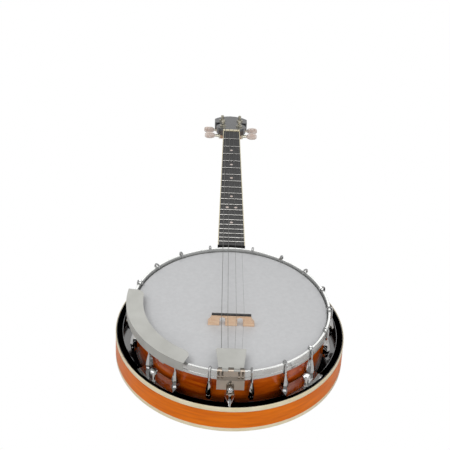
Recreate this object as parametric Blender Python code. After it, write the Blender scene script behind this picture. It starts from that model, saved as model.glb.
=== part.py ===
# Four-string tenor banjo with a resonator, lying on its back.
# The rest plane is z = 0 and the pot's axis is the z axis. The headstock points to +Y.
# +X is the right side for a viewer at the tail. Lengths are in metres.
import math

import bmesh
import bpy
from mathutils import Matrix, Vector

# Shared clearances and round detail
GAP = 0.0003
SEGMENTS = 60

# Pot
HOOP_TOP = 0.0970
RIM_RADIUS = 0.1370
RIM_WALL = 0.0110
RIM_HEIGHT = 0.0667
HEAD_DROP = 0.0045
SKIN = 0.0005
FLESH_WIDTH = 0.0026
HOOP_SKIRT = 0.0023
HOOP_TOP_WIDTH = 0.0036
HOOP_HEIGHT = 0.0148
HOOP_SHOULDER = 0.0102

# Tension hooks and shoes
HOOKS_PER_SIDE = 9
HOOK_FIRST_ANGLE = 11.4
HOOK_STEP = 19.4
HOOK_ROD = 0.0015
SHOE_TOP = 0.0170
SHOE_BOTTOM = 0.0408
SHOE_HALF_WIDTH = 0.00525
SHOE_BOLT = 0.0016
SHOE_BOLT_DROP = 0.0320
NUT_HEIGHT = 0.0050
NUT_RADIUS = 0.0040

# Resonator
LIP_DROP = 0.0426
LIP_INNER = 0.1545
LIP_THICKNESS = 0.0040
RESONATOR_RADIUS = 0.1652
RESONATOR_FLARE = 0.0006
RESONATOR_WALL = 0.0047
BINDING_THICKNESS = 0.0012
TOP_BINDING_HEIGHT = 0.0078
BOTTOM_BINDING_HEIGHT = 0.0061
BACK_THICKNESS = 0.0040
BACK_EDGE = 0.0119
BACK_FLAT_RADIUS = 0.1000
NECK_NOTCH = 0.0190

# Resonator brackets and thumbscrews
BRACKET_SPREAD = 12.15
BRACKET_THICKNESS = 0.0012
BRACKET_INNER = 0.1410
BRACKET_OUTER = 0.1610
SCREW_RADIUS_FROM_AXIS = 0.1580
SCREW_ROD = 0.0015
SCREW_KNOB = 0.00525
SCREW_TOP_DROP = 0.0204

# Scale, bridge and strings
SCALE_LENGTH = 0.5842
BRIDGE_Y = -0.0372
BRIDGE_HEIGHT = 0.0172
BRIDGE_HALF_LENGTH = 0.0326
BRIDGE_CAP_HEIGHT = 0.0022
STRING_RADII = (0.00042, 0.00031, 0.00021, 0.00015)
STRING_X_BRIDGE = (-0.0138, -0.0052, 0.0067, 0.0177)
STRING_X_COVER = (-0.0131, -0.0041, 0.0050, 0.0145)
STRING_X_NUT = (-0.0112, -0.0037, 0.0038, 0.0114)
STRING_X_PEG = (-0.0160, -0.0110, 0.0110, 0.0160)

# Neck and fingerboard
NECK_SLOPE = 0.0425
BOARD_ABOVE_HOOP = 0.0082
BOARD_THICKNESS = 0.0050
BOARD_END_CLEARANCE = 0.0055
BOARD_WIDTH_NUT = 0.0311
BOARD_WIDTH_GROWTH = 0.0290
FRET_COUNT = 19
FRET_HEIGHT = 0.0010
FRET_WIDTH = 0.0020
FRET_INSET = 0.0012
NUT_LENGTH = 0.0047
HEEL_DEPTH = 0.0585

# Headstock and tuners
HEADSTOCK_TILT = 11.0
HEADSTOCK_THICKNESS = 0.0130
FACE_THICKNESS = 0.0015
FACE_START = 0.0066
POST_S = (0.0520, 0.0930)
POST_X = (0.0155, 0.0170)
BUTTON_START = (0.0306, 0.0324)
POST_RADIUS = 0.0030
POST_RISE = 0.0110
BUSHING_RADIUS = 0.0045
GEAR_RADIUS = 0.0050
WORM_RADIUS = 0.0019
WORM_DEPTH = 0.0170
BUTTON_LENGTH = 0.0195
BUTTON_WIDTH = 0.0125
BUTTON_THICKNESS = 0.0080

# Tailpiece and armrest
PLATE = 0.0012
BASE_HALF_WIDTH = 0.0185
HINGE_RISE = 0.0055
KNUCKLE_RADIUS = 0.0023
PIN_RADIUS = 0.0010
COVER_LENGTH = 0.0410
COVER_REAR = 0.0168
COVER_FRONT = 0.0205
STUD_OFFSET = 0.0103
ARMREST_INNER = 0.1255
ARMREST_OUTER = 0.1495
ARMREST_FROM = -98.0
ARMREST_TO = -25.0
ARMREST_CORNER = 0.0110
ARMREST_SKIRT = 0.0150

# Sizes that follow from the ones above
HEAD_Z = HOOP_TOP - HEAD_DROP
RIM_TOP = HEAD_Z - SKIN - GAP
RIM_BOTTOM = RIM_TOP - RIM_HEIGHT
RIM_INNER = RIM_RADIUS - RIM_WALL
SKIRT_INNER = RIM_RADIUS + GAP
FLESH_OUTER = SKIRT_INNER + FLESH_WIDTH
HOOP_OUTER = FLESH_OUTER + GAP + HOOP_SKIRT
HOOP_INNER = HOOP_OUTER - HOOP_TOP_WIDTH
HOOK_BEND = HOOP_TOP_WIDTH / 2 + GAP + HOOK_ROD + 0.00005
HOOK_RADIUS = HOOP_OUTER + GAP + HOOK_ROD + 0.0001
HOOK_HEAD_TOP = HOOP_TOP + HOOK_BEND + HOOK_ROD
LIP_Z = HOOP_TOP - LIP_DROP
LIP_OUTER = RESONATOR_RADIUS - BINDING_THICKNESS - GAP
SIDE_INNER = RESONATOR_RADIUS - RESONATOR_WALL
SIDE_TOP = LIP_Z - LIP_THICKNESS - GAP
SIDE_BOTTOM = BACK_EDGE + BACK_THICKNESS + GAP
BRACKET_Z = LIP_Z + GAP
BOARD_END = HOOP_OUTER + BOARD_END_CLEARANCE
NUT_Y = BRIDGE_Y + SCALE_LENGTH
TAIL_Y = -(HOOP_OUTER + GAP)
HINGE_Y = TAIL_Y - 0.0017
HINGE_Z = HOOP_TOP + HINGE_RISE
STUD_Y = -(HOOP_OUTER + STUD_OFFSET)
ROD_Z = HOOP_TOP - 0.0520
ARMREST_Z = HOOK_HEAD_TOP + GAP
WORM_OFFSET = GEAR_RADIUS + WORM_RADIUS + GAP


def new_collection(name):
    collection = bpy.data.collections.new(name)
    bpy.context.scene.collection.children.link(collection)
    return collection


def new_material(name, colour, roughness, metallic):
    material = bpy.data.materials.new(name)
    material.use_nodes = True
    shader = material.node_tree.nodes["Principled BSDF"]
    shader.inputs["Base Color"].default_value = (*colour, 1.0)
    shader.inputs["Roughness"].default_value = roughness
    shader.inputs["Metallic"].default_value = metallic
    material.diffuse_color = (*colour, 1.0)
    return material


# Mesh builders
def finish_mesh(bm, name, smooth):
    bmesh.ops.remove_doubles(bm, verts=bm.verts, dist=0.000001)
    bmesh.ops.recalc_face_normals(bm, faces=bm.faces)
    mesh = bpy.data.meshes.new(name)
    bm.to_mesh(mesh)
    bm.free()
    mesh.polygons.foreach_set("use_smooth", [smooth] * len(mesh.polygons))
    return mesh


def lathe(name, profile, segments=SEGMENTS, closed=True, smooth=True):
    bm = bmesh.new()
    verts = [bm.verts.new((radius, 0.0, z)) for radius, z in profile]
    pairs = list(zip(verts, verts[1:]))
    if closed:
        pairs.append((verts[-1], verts[0]))
    edges = [bm.edges.new(pair) for pair in pairs]
    bmesh.ops.spin(
        bm,
        geom=verts + edges,
        cent=(0.0, 0.0, 0.0),
        axis=(0.0, 0.0, 1.0),
        dvec=(0.0, 0.0, 0.0),
        angle=2.0 * math.pi,
        steps=segments,
        use_merge=True,
        use_duplicate=False,
    )
    return finish_mesh(bm, name, smooth)


def loft(name, rings, smooth=True):
    bm = bmesh.new()
    rows = [[bm.verts.new(point) for point in ring] for ring in rings]
    count = len(rows[0])
    for low, high in zip(rows, rows[1:]):
        for i in range(count):
            j = (i + 1) % count
            bm.faces.new((low[i], low[j], high[j], high[i]))
    bm.faces.new(rows[0])
    bm.faces.new(rows[-1])
    return finish_mesh(bm, name, smooth)


def prism(name, outline, low, high, smooth=False):
    rings = [[(x, y, z) for x, y in outline] for z in (low, high)]
    return loft(name, rings, smooth)


def side_prism(name, outline, left, right):
    # An outline in Y and Z, carried from one X to another.
    rings = [[(x, y, z) for y, z in outline] for x in (left, right)]
    return loft(name, rings, False)


def block(name, x0, x1, y0, y1, z0, z1):
    return prism(name, [(x0, y0), (x1, y0), (x1, y1), (x0, y1)], z0, z1)


def cylinder(name, radius, start, end, segments=16, end_radius=None):
    # A round bar from one point to another.
    start = Vector(start)
    end = Vector(end)
    axis = end - start
    turn = axis.to_track_quat("Z", "Y").to_matrix().to_4x4()
    place = Matrix.Translation((start + end) / 2) @ turn
    bm = bmesh.new()
    bmesh.ops.create_cone(
        bm,
        cap_ends=True,
        segments=segments,
        radius1=radius,
        radius2=radius if end_radius is None else end_radius,
        depth=axis.length,
        matrix=place,
    )
    return finish_mesh(bm, name, segments > 6)


def sweep(name, path, radius, sides):
    # A round bar along a path. Each ring is turned no more than the path itself.
    points = [Vector(point) for point in path]
    rings = []
    normal = None
    for index, point in enumerate(points):
        before = points[max(index - 1, 0)]
        after = points[min(index + 1, len(points) - 1)]
        tangent = (after - before).normalized()
        if normal is None:
            normal = tangent.orthogonal().normalized()
        normal = (normal - tangent * normal.dot(tangent)).normalized()
        other = tangent.cross(normal)
        ring = []
        for side in range(sides):
            angle = 2.0 * math.pi * side / sides
            ring.append(point + radius * (normal * math.cos(angle) + other * math.sin(angle)))
        rings.append(ring)
    return loft(name, rings)


# Object builders
def add_object(name, mesh, material, place=None):
    obj = bpy.data.objects.new(name, mesh)
    if not mesh.materials:
        mesh.materials.append(material)
    MODEL.objects.link(obj)
    if place is not None:
        obj.matrix_world = place
    return obj


def shape(obj, operation, meshes):
    for mesh in meshes:
        tool = bpy.data.objects.new(obj.name + "_tool", mesh)
        tool.matrix_world = obj.matrix_world
        tool.display_type = "WIRE"
        tool.hide_render = True
        CUTTERS.objects.link(tool)
        modifier = obj.modifiers.new(operation.lower(), "BOOLEAN")
        modifier.operation = operation
        modifier.solver = "EXACT"
        modifier.object = tool


def settled_mesh(obj):
    # The finished mesh of an object, so that copies can share it.
    bpy.context.view_layer.update()
    graph = bpy.context.evaluated_depsgraph_get()
    mesh = bpy.data.meshes.new_from_object(obj.evaluated_get(graph))
    bpy.data.objects.remove(obj)
    return mesh


def turned(angle):
    # Local +X becomes the direction at this angle from the tail, seen from above.
    return Matrix.Rotation(math.radians(angle - 90.0), 4, "Z")


def hook_angles():
    return [HOOK_FIRST_ANGLE + HOOK_STEP * index for index in range(HOOKS_PER_SIDE)]


def bracket_angles():
    angles = hook_angles()
    near = (angles[1] + angles[2]) / 2
    far = (angles[-3] + angles[-2]) / 2
    return [-near, near, -far, far]


def board_z(y):
    return HOOP_TOP + BOARD_ABOVE_HOOP - NECK_SLOPE * (y - BRIDGE_Y)


def board_half(y):
    return (BOARD_WIDTH_NUT + BOARD_WIDTH_GROWTH * (NUT_Y - y)) / 2


def head_frame():
    angle = math.atan(NECK_SLOPE) + math.radians(HEADSTOCK_TILT)
    origin = Vector((0.0, NUT_Y, board_z(NUT_Y) - BOARD_THICKNESS))
    return Matrix.Translation(origin) @ Matrix.Rotation(-angle, 4, "X")


# Pot
def build_rim():
    chamfer = 0.0015
    profile = [
        (RIM_INNER, RIM_BOTTOM),
        (RIM_RADIUS, RIM_BOTTOM),
        (RIM_RADIUS, RIM_TOP - chamfer),
        (RIM_RADIUS - chamfer, RIM_TOP),
        (RIM_INNER + 0.003, RIM_TOP),
        (RIM_INNER, RIM_TOP - 0.003),
    ]
    rim = add_object("rim", lathe("rim", profile), AMBER)
    bolt_z = HOOP_TOP - SHOE_BOLT_DROP
    holes = []
    for angle in hook_angles():
        for side in (-1, 1):
            turn = turned(side * angle)
            start = turn @ Vector((RIM_INNER - 0.003, 0.0, bolt_z))
            end = turn @ Vector((RIM_RADIUS + 0.003, 0.0, bolt_z))
            holes.append(cylinder("bolt_hole", SHOE_BOLT + GAP, start, end, 8))
    rod_hole = cylinder(
        "rod_hole",
        0.003 + GAP,
        (0.0, -RIM_RADIUS - 0.003, ROD_Z),
        (0.0, RIM_RADIUS + 0.003, ROD_Z),
    )
    shape(rim, "DIFFERENCE", [merged("bolt_holes", holes), rod_hole])


def merged(name, meshes):
    # Separate solids kept in one mesh, for one Boolean step.
    bm = bmesh.new()
    for mesh in meshes:
        bm.from_mesh(mesh)
    return finish_mesh(bm, name, False)


def build_head():
    skirt = SKIRT_INNER + SKIN
    flesh_top = HOOP_TOP - HOOP_SHOULDER - GAP
    flesh_bottom = flesh_top - 0.003
    under = HEAD_Z - SKIN
    profile = [
        (0.0, HEAD_Z),
        (skirt - 0.0017, HEAD_Z),
        (skirt, HEAD_Z - 0.0017),
        (skirt, flesh_top),
        (FLESH_OUTER, flesh_top),
        (FLESH_OUTER, flesh_bottom),
        (SKIRT_INNER, flesh_bottom),
        (SKIRT_INNER, under - 0.0016),
        (SKIRT_INNER - 0.0016, under),
        (0.0, under),
    ]
    add_object("head", lathe("head", profile, closed=False), SKIN_WHITE)


def build_tension_hoop():
    groove = 0.0093
    bottom = HOOP_TOP - HOOP_HEIGHT
    inner_low = FLESH_OUTER + GAP
    profile = [
        (HOOP_INNER, HOOP_TOP),
        (HOOP_OUTER, HOOP_TOP),
        (HOOP_OUTER, HOOP_TOP - groove + 0.0004),
        (HOOP_OUTER - 0.0005, HOOP_TOP - groove),
        (HOOP_OUTER, HOOP_TOP - groove - 0.0004),
        (HOOP_OUTER, bottom),
        (inner_low, bottom),
        (inner_low, HOOP_TOP - HOOP_SHOULDER),
        (HOOP_INNER, HOOP_TOP - HOOP_SHOULDER),
    ]
    add_object("tension_hoop", lathe("tension_hoop", profile), CHROME)


def shoe_mesh():
    back = RIM_RADIUS + GAP
    centre = back + 0.0037
    front = HOOK_RADIUS + HOOK_ROD
    height = SHOE_BOTTOM - SHOE_TOP
    stations = (
        (0.0, 0.36, 0.0005),
        (0.33, 0.70, 0.0025),
        (0.72, 1.00, 0.0040),
        (0.88, 0.95, 0.0036),
        (1.0, 0.80, 0.0027),
    )
    rings = []
    for share, width, bulge in stations:
        z = HOOP_TOP - SHOE_TOP - height * share
        half = SHOE_HALF_WIDTH * width
        reach = front + bulge - centre
        ring = [(back, -0.85 * half, z)]
        for step in range(5):
            angle = math.radians(-90.0 + 45.0 * step)
            ring.append((centre + reach * math.cos(angle), half * math.sin(angle), z))
        ring.append((back, 0.85 * half, z))
        rings.append(ring)
    return loft("shoe", rings)


def hook_mesh(nut_top):
    # One hook with its nut, its shoe and the shoe's bolt. Local +X points outward.
    centre = HOOK_RADIUS - HOOK_BEND
    low = nut_top - NUT_HEIGHT - 0.0025
    path = [(HOOK_RADIUS, 0.0, low), (HOOK_RADIUS, 0.0, HOOP_TOP)]
    for step in range(1, 6):
        angle = math.radians(36.0 * step)
        path.append((centre + HOOK_BEND * math.cos(angle), 0.0, HOOP_TOP + HOOK_BEND * math.sin(angle)))
    path.append((centre - HOOK_BEND, 0.0, HOOP_TOP - 0.0018))
    rod = sweep("rod", path, HOOK_ROD, 6)
    nut = cylinder(
        "nut",
        NUT_RADIUS,
        (HOOK_RADIUS, 0.0, nut_top - NUT_HEIGHT),
        (HOOK_RADIUS, 0.0, nut_top),
        6,
    )
    bolt_z = HOOP_TOP - SHOE_BOLT_DROP
    inside = RIM_INNER - 0.0010
    bolt = cylinder("bolt", SHOE_BOLT, (inside - 0.001, 0.0, bolt_z), (RIM_RADIUS + 0.003, 0.0, bolt_z), 8)
    bolt_head = cylinder("bolt_head", 0.0040, (inside - 0.0025, 0.0, bolt_z), (inside, 0.0, bolt_z), 6)
    obj = add_object("hook_pattern", rod, CHROME)
    shape(obj, "UNION", [shoe_mesh(), nut, bolt, bolt_head])
    return settled_mesh(obj)


def build_hooks():
    free = hook_mesh(HOOP_TOP - SHOE_BOTTOM - GAP)
    clamped = hook_mesh(BRACKET_Z - GAP)
    held = []
    for angle in bracket_angles():
        held.append(angle - HOOK_STEP / 2)
        held.append(angle + HOOK_STEP / 2)
    angles = [-angle for angle in hook_angles()] + hook_angles()
    for index, angle in enumerate(sorted(angles)):
        through_bracket = min(abs(angle - other) for other in held) < 0.01
        mesh = clamped if through_bracket else free
        add_object("hook_%02d" % (index + 1), mesh, CHROME, turned(angle))


# Resonator
def build_resonator_side():
    top_rebate = LIP_Z - TOP_BINDING_HEIGHT - GAP
    low_rebate = BACK_EDGE + BOTTOM_BINDING_HEIGHT + GAP
    low_radius = RESONATOR_RADIUS + RESONATOR_FLARE
    profile = [
        (SIDE_INNER, SIDE_TOP),
        (LIP_OUTER, SIDE_TOP),
        (LIP_OUTER, top_rebate),
        (RESONATOR_RADIUS, top_rebate),
        (low_radius, low_rebate),
        (low_radius - BINDING_THICKNESS - GAP, low_rebate),
        (low_radius - BINDING_THICKNESS - GAP, SIDE_BOTTOM),
        (SIDE_INNER, SIDE_BOTTOM),
    ]
    add_object("resonator_side", lathe("resonator_side", profile), ORANGE)


def build_resonator_lip():
    bottom = LIP_Z - LIP_THICKNESS
    profile = [(LIP_INNER, LIP_Z), (LIP_OUTER, LIP_Z), (LIP_OUTER, bottom), (LIP_INNER, bottom)]
    lip = add_object("resonator_lip", lathe("resonator_lip", profile), BLACK_LACQUER)
    lug_outer = SIDE_INNER - GAP - 0.0003
    lug_inner = LIP_INNER + 0.0004
    lugs = []
    holes = []
    for angle in bracket_angles():
        turn = turned(angle)
        lug = block("lug", lug_inner, lug_outer, -0.006, 0.006, bottom - 0.0100, bottom + 0.001)
        lug.transform(turn)
        lugs.append(lug)
        hole = cylinder(
            "screw_hole",
            SCREW_ROD + GAP,
            (SCREW_RADIUS_FROM_AXIS, 0.0, bottom - 0.012),
            (SCREW_RADIUS_FROM_AXIS, 0.0, LIP_Z + 0.002),
            12,
        )
        hole.transform(turn)
        holes.append(hole)
    notch = block("notch", -NECK_NOTCH, NECK_NOTCH, 0.1, 0.2, bottom - 0.02, LIP_Z + 0.02)
    shape(lip, "UNION", [merged("lugs", lugs)])
    shape(lip, "DIFFERENCE", [merged("screw_holes", holes), notch])


def build_resonator_back():
    edge = RESONATOR_RADIUS + RESONATOR_FLARE
    band_inner = edge - BINDING_THICKNESS
    under = [(edge, BACK_EDGE)]
    inside = []
    for step in range(1, 4):
        share = 1.0 - step / 3.0
        radius = BACK_FLAT_RADIUS + (edge - BACK_FLAT_RADIUS) * share
        under.append((radius, BACK_EDGE * share * share))
    for step in range(4):
        share = step / 3.0 * 0.93
        radius = BACK_FLAT_RADIUS + (edge - BACK_FLAT_RADIUS) * share
        inside.append((radius, BACK_THICKNESS + BACK_EDGE * share * share))
    seat = BACK_EDGE + BACK_THICKNESS
    profile = [(0.0, BACK_THICKNESS)] + inside + [(edge - 0.0032, seat), (band_inner, seat)]
    profile += [(band_inner, BACK_EDGE + BOTTOM_BINDING_HEIGHT)]
    profile += [(edge, BACK_EDGE + BOTTOM_BINDING_HEIGHT)] + under + [(0.0, 0.0)]
    add_object("resonator_back", lathe("resonator_back", profile, closed=False), ORANGE)


def build_binding():
    inner = RESONATOR_RADIUS - BINDING_THICKNESS
    low = LIP_Z - TOP_BINDING_HEIGHT
    profile = [(inner, LIP_Z), (RESONATOR_RADIUS, LIP_Z), (RESONATOR_RADIUS, low), (inner, low)]
    add_object("resonator_binding", lathe("resonator_binding", profile), CREAM)


# Brackets and thumbscrews
def sector(inner, outer, start, end, steps, corner=0.0):
    points = []
    for step in range(steps + 1):
        angle = math.radians(start + (end - start) * step / steps)
        points.append((outer * math.cos(angle), outer * math.sin(angle)))
    for step in range(steps, -1, -1):
        angle = math.radians(start + corner + (end - start - 2 * corner) * step / steps)
        points.append((inner * math.cos(angle), inner * math.sin(angle)))
    return points


def build_brackets():
    outline = sector(BRACKET_INNER, BRACKET_OUTER, -BRACKET_SPREAD, BRACKET_SPREAD, 8)
    plate = prism("bracket", outline, BRACKET_Z, BRACKET_Z + BRACKET_THICKNESS)
    holes = []
    spots = (
        (HOOK_RADIUS, -HOOK_STEP / 2, HOOK_ROD),
        (HOOK_RADIUS, HOOK_STEP / 2, HOOK_ROD),
        (SCREW_RADIUS_FROM_AXIS, 0.0, SCREW_ROD),
    )
    for radius, angle, rod in spots:
        spot = Matrix.Rotation(math.radians(angle), 4, "Z") @ Vector((radius, 0.0, 0.0))
        low = spot + Vector((0.0, 0.0, BRACKET_Z - 0.003))
        high = spot + Vector((0.0, 0.0, BRACKET_Z + 0.004))
        holes.append(cylinder("hole", rod + 0.0004, low, high, 12))
    pattern = add_object("bracket_pattern", plate, CHROME)
    shape(pattern, "DIFFERENCE", [merged("bracket_holes", holes)])
    mesh = settled_mesh(pattern)
    for index, angle in enumerate(bracket_angles()):
        add_object("resonator_bracket_%d" % (index + 1), mesh, CHROME, turned(angle))


def build_thumbscrews():
    top = HOOP_TOP - SCREW_TOP_DROP
    seat = BRACKET_Z + BRACKET_THICKNESS + GAP
    bottom = LIP_Z - LIP_THICKNESS - 0.0085
    knob = top - 0.0056
    profile = [
        (0.0, top),
        (SCREW_KNOB * 0.72, top),
        (SCREW_KNOB, top - 0.0010),
        (SCREW_KNOB, knob + 0.0010),
        (SCREW_KNOB * 0.72, knob),
        (SCREW_ROD * 1.4, knob - 0.0008),
        (SCREW_ROD * 1.3, seat + 0.0026),
        (SCREW_ROD * 2.0, seat + 0.0014),
        (SCREW_ROD * 2.0, seat),
        (SCREW_ROD, seat),
        (SCREW_ROD, bottom + 0.0005),
        (SCREW_ROD * 0.6, bottom),
        (0.0, bottom),
    ]
    mesh = lathe("thumbscrew", profile, segments=12, closed=False)
    for index, angle in enumerate(bracket_angles()):
        spot = turned(angle) @ Vector((SCREW_RADIUS_FROM_AXIS, 0.0, 0.0))
        add_object("thumbscrew_%d" % (index + 1), mesh, CHROME, Matrix.Translation(spot))


def build_coordinator_rod():
    # Turned about Z first, then laid along Y with +Z becoming -Y.
    wall = RIM_INNER - GAP - 0.0002
    nut_face = RIM_RADIUS + 2 * GAP + 0.0020 + GAP
    profile = [
        (0.0, nut_face + 0.0055),
        (0.0030, nut_face + 0.0055),
        (0.0030, wall),
        (0.00475, wall),
        (0.00475, -wall),
        (0.0030, -wall),
        (0.0030, -(RIM_RADIUS + 0.0142)),
        (0.0, -(RIM_RADIUS + 0.0142)),
    ]
    mesh = lathe("coordinator_rod", profile, segments=16, closed=False)
    place = Matrix.Translation((0.0, 0.0, ROD_Z)) @ Matrix.Rotation(math.radians(90.0), 4, "X")
    rod = add_object("coordinator_rod", mesh, STEEL, place)
    nut = cylinder("rod_nut", 0.0055, (0.0, 0.0, nut_face), (0.0, 0.0, nut_face + 0.0042), 6)
    shape(rod, "UNION", [nut])


# Bridge
def build_bridge():
    foot = HEAD_Z + GAP
    half = BRIDGE_HALF_LENGTH
    top_half = half * 0.845
    body = BRIDGE_HEIGHT - BRIDGE_CAP_HEIGHT - GAP
    right = [
        (0.25, 0.0),
        (0.26, 0.45),
        (0.22, 0.58),
        (0.27, 0.74),
        (0.38, 0.84),
        (0.49, 0.74),
        (0.54, 0.58),
        (0.50, 0.45),
        (0.51, 0.0),
        (1.0, 0.0),
        (1.0, 0.20),
        (0.93, 0.42),
        (0.87, 0.66),
        (0.845, 1.0),
    ]
    points = [(x * half, z * body) for x, z in right]
    outline = points + [(-x, z) for x, z in reversed(points)]
    rings = []
    for side in (-1, 1):
        ring = []
        for x, z in outline:
            thick = 0.0050 + (0.0015 - 0.0050) * min(1.0, z / body)
            ring.append((x, BRIDGE_Y + side * thick, foot + z))
        rings.append(ring)
    add_object("bridge_base", loft("bridge_base", rings, False), MAPLE)
    cap_low = foot + body + GAP
    cap_high = cap_low + BRIDGE_CAP_HEIGHT
    cap = block("bridge_cap", -top_half, top_half, BRIDGE_Y - 0.0015, BRIDGE_Y + 0.0015, cap_low, cap_high)
    add_object("bridge_cap", cap, EBONY)
    return cap_high


# Neck
def neck_depth(y):
    # Depth of the wood below the fingerboard: a slim grip that drops into the heel.
    start = RESONATOR_RADIUS
    length = NUT_Y - start
    table = (
        (-0.0300, HEEL_DEPTH),
        (start * 0 - 0.0200, HEEL_DEPTH),
        (-0.0160, HEEL_DEPTH - 0.0015),
        (-0.0120, HEEL_DEPTH - 0.0055),
        (-0.0080, HEEL_DEPTH - 0.0115),
        (-0.0052, HEEL_DEPTH - 0.0185),
        (-0.0014, LIP_DROP - 0.0066),
        (0.0030, LIP_DROP - 0.0080),
        (0.0100, LIP_DROP - 0.0125),
        (0.0200, LIP_DROP - 0.0172),
        (0.0350, LIP_DROP - 0.0208),
        (length * 0.20, 0.0190),
        (length * 0.45, 0.0168),
        (length * 0.75, 0.0152),
        (length, 0.0142),
        (length + 0.0100, 0.0142),
    )
    offset = y - start
    for (y0, d0), (y1, d1) in zip(table, table[1:]):
        if offset <= y1:
            share = (offset - y0) / (y1 - y0)
            return d0 + (d1 - d0) * share
    return table[-1][1]


def neck_section(y):
    half = board_half(y)
    depth = neck_depth(y)
    top = board_z(y) - BOARD_THICKNESS - GAP
    heel = min(1.0, max(0.0, (depth - 0.020) / (HEEL_DEPTH - 0.020)))
    width_power = 0.80 + 0.35 * heel
    depth_power = 0.92 - 0.14 * heel
    ring = []
    for step in range(13):
        angle = math.pi * step / 12
        side = math.cos(angle)
        x = math.copysign(half * abs(side) ** width_power, side)
        ring.append((x, y, top - depth * math.sin(angle) ** depth_power))
    return ring


def build_neck():
    start = RESONATOR_RADIUS
    length = NUT_Y - start
    offsets = [-0.0300, -0.0200, -0.0160, -0.0120, -0.0080, -0.0052, -0.0014, 0.0030, 0.0100, 0.0200, 0.0350]
    offsets += [length * share for share in (0.20, 0.32, 0.45, 0.60, 0.75, 0.90, 1.0)]
    rings = [neck_section(start + offset) for offset in offsets]
    rings.append(neck_section(NUT_Y + NUT_LENGTH + 2 * GAP))
    neck = add_object("neck", loft("neck", rings), BLACK_LACQUER)
    frame = head_frame()
    outline = headstock_outline(-0.0060)
    wood = prism("headstock", outline, -HEADSTOCK_THICKNESS, -FACE_THICKNESS - GAP)
    wood.transform(frame)
    shape(neck, "UNION", [wood])
    low = RIM_BOTTOM - 0.03
    rim_cut = lathe("rim_cut", cylinder_profile(SKIRT_INNER, low, HOOP_TOP + 0.05), closed=False)
    hoop_low = HOOP_TOP - HOOP_HEIGHT - GAP
    hoop_cut = lathe("hoop_cut", cylinder_profile(HOOP_OUTER + GAP, hoop_low, HOOP_TOP + 0.05), closed=False)
    stud = cylinder("stud_hole", 0.003 + GAP, (0.0, 0.12, ROD_Z), (0.0, RIM_RADIUS + 0.0152, ROD_Z), 16)
    holes = []
    for x, s in post_spots():
        hole = cylinder("post_hole", BUSHING_RADIUS + GAP, (x, s, -0.03), (x, s, 0.02))
        hole.transform(frame)
        holes.append(hole)
    shape(neck, "DIFFERENCE", [rim_cut, hoop_cut, stud, merged("post_holes", holes)])


def cylinder_profile(radius, low, high):
    return [(0.0, high), (radius, high), (radius, low), (0.0, low)]


def post_spots():
    spots = []
    for side in (-1, 1):
        for x, s in zip(POST_X, POST_S):
            spots.append((side * x, s))
    return spots


def headstock_outline(start):
    # Half widths along the headstock, from the nut to the arched top.
    half = (
        (0.0153, start),
        (0.0152, 0.0200),
        (0.0158, 0.0280),
        (0.0195, 0.0340),
        (0.0240, 0.0400),
        (0.0270, 0.0470),
        (0.0280, 0.0540),
        (0.0265, 0.0610),
        (0.0235, 0.0660),
        (0.0203, 0.0715),
        (0.0194, 0.0765),
        (0.0215, 0.0795),
        (0.0270, 0.0790),
        (0.0304, 0.0805),
        (0.0315, 0.0850),
        (0.0311, 0.0930),
        (0.0318, 0.1040),
        (0.0312, 0.1070),
        (0.0240, 0.1180),
        (0.0165, 0.1245),
        (0.0085, 0.1285),
    )
    right = list(half)
    left = [(-x, s) for x, s in reversed(half)]
    return right + [(0.0, 0.1305)] + left


def build_headstock_face():
    mesh = prism("headstock_face", headstock_outline(FACE_START), -FACE_THICKNESS, 0.0)
    face = add_object("headstock_face", mesh, FACE_BLACK, head_frame())
    holes = [
        cylinder("face_hole", BUSHING_RADIUS + GAP, (x, s, -0.01), (x, s, 0.01))
        for x, s in post_spots()
    ]
    shape(face, "DIFFERENCE", [merged("face_holes", holes)])


def build_fingerboard():
    ends = (BOARD_END, NUT_Y - GAP)
    rings = []
    for y in ends:
        half = board_half(y)
        top = board_z(y)
        low = top - BOARD_THICKNESS
        rings.append([(-half, y, low), (half, y, low), (half, y, top), (-half, y, top)])
    board = add_object("fingerboard", loft("fingerboard", rings, False), EBONY)
    frets = []
    for number in range(1, FRET_COUNT + 1):
        y = NUT_Y - SCALE_LENGTH * (1.0 - 2.0 ** (-number / 12.0))
        if y < BOARD_END + 0.004:
            break
        half = board_half(y) - FRET_INSET
        low = board_z(y) - 0.0008
        high = board_z(y) + FRET_HEIGHT
        wide = FRET_WIDTH / 2
        outline = [
            (y - wide, low),
            (y + wide, low),
            (y + wide, high - 0.0006),
            (y + wide * 0.5, high),
            (y - wide * 0.5, high),
            (y - wide, high - 0.0006),
        ]
        frets.append(side_prism("fret", outline, -half, half))
    shape(board, "UNION", [merged("frets", frets)])


def build_nut():
    low = board_z(NUT_Y) - BOARD_THICKNESS
    high = board_z(NUT_Y) + FRET_HEIGHT + GAP
    half = board_half(NUT_Y) - 0.0003
    nut = block("nut", -half, half, NUT_Y, NUT_Y + NUT_LENGTH, low, high)
    add_object("nut", nut, CREAM)
    return high


# Tuners
def rounded_box(half_x, half_y, corner):
    points = []
    for sx, sy, start in ((1, 1, 0), (-1, 1, 90), (-1, -1, 180), (1, -1, 270)):
        for step in range(3):
            angle = math.radians(start + 45 * step)
            x = sx * (half_x - corner) + corner * math.cos(angle)
            y = sy * (half_y - corner) + corner * math.sin(angle)
            points.append((x, y))
    return points


def shifted(outline, x, y):
    return [(px + x, py + y) for px, py in outline]


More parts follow.
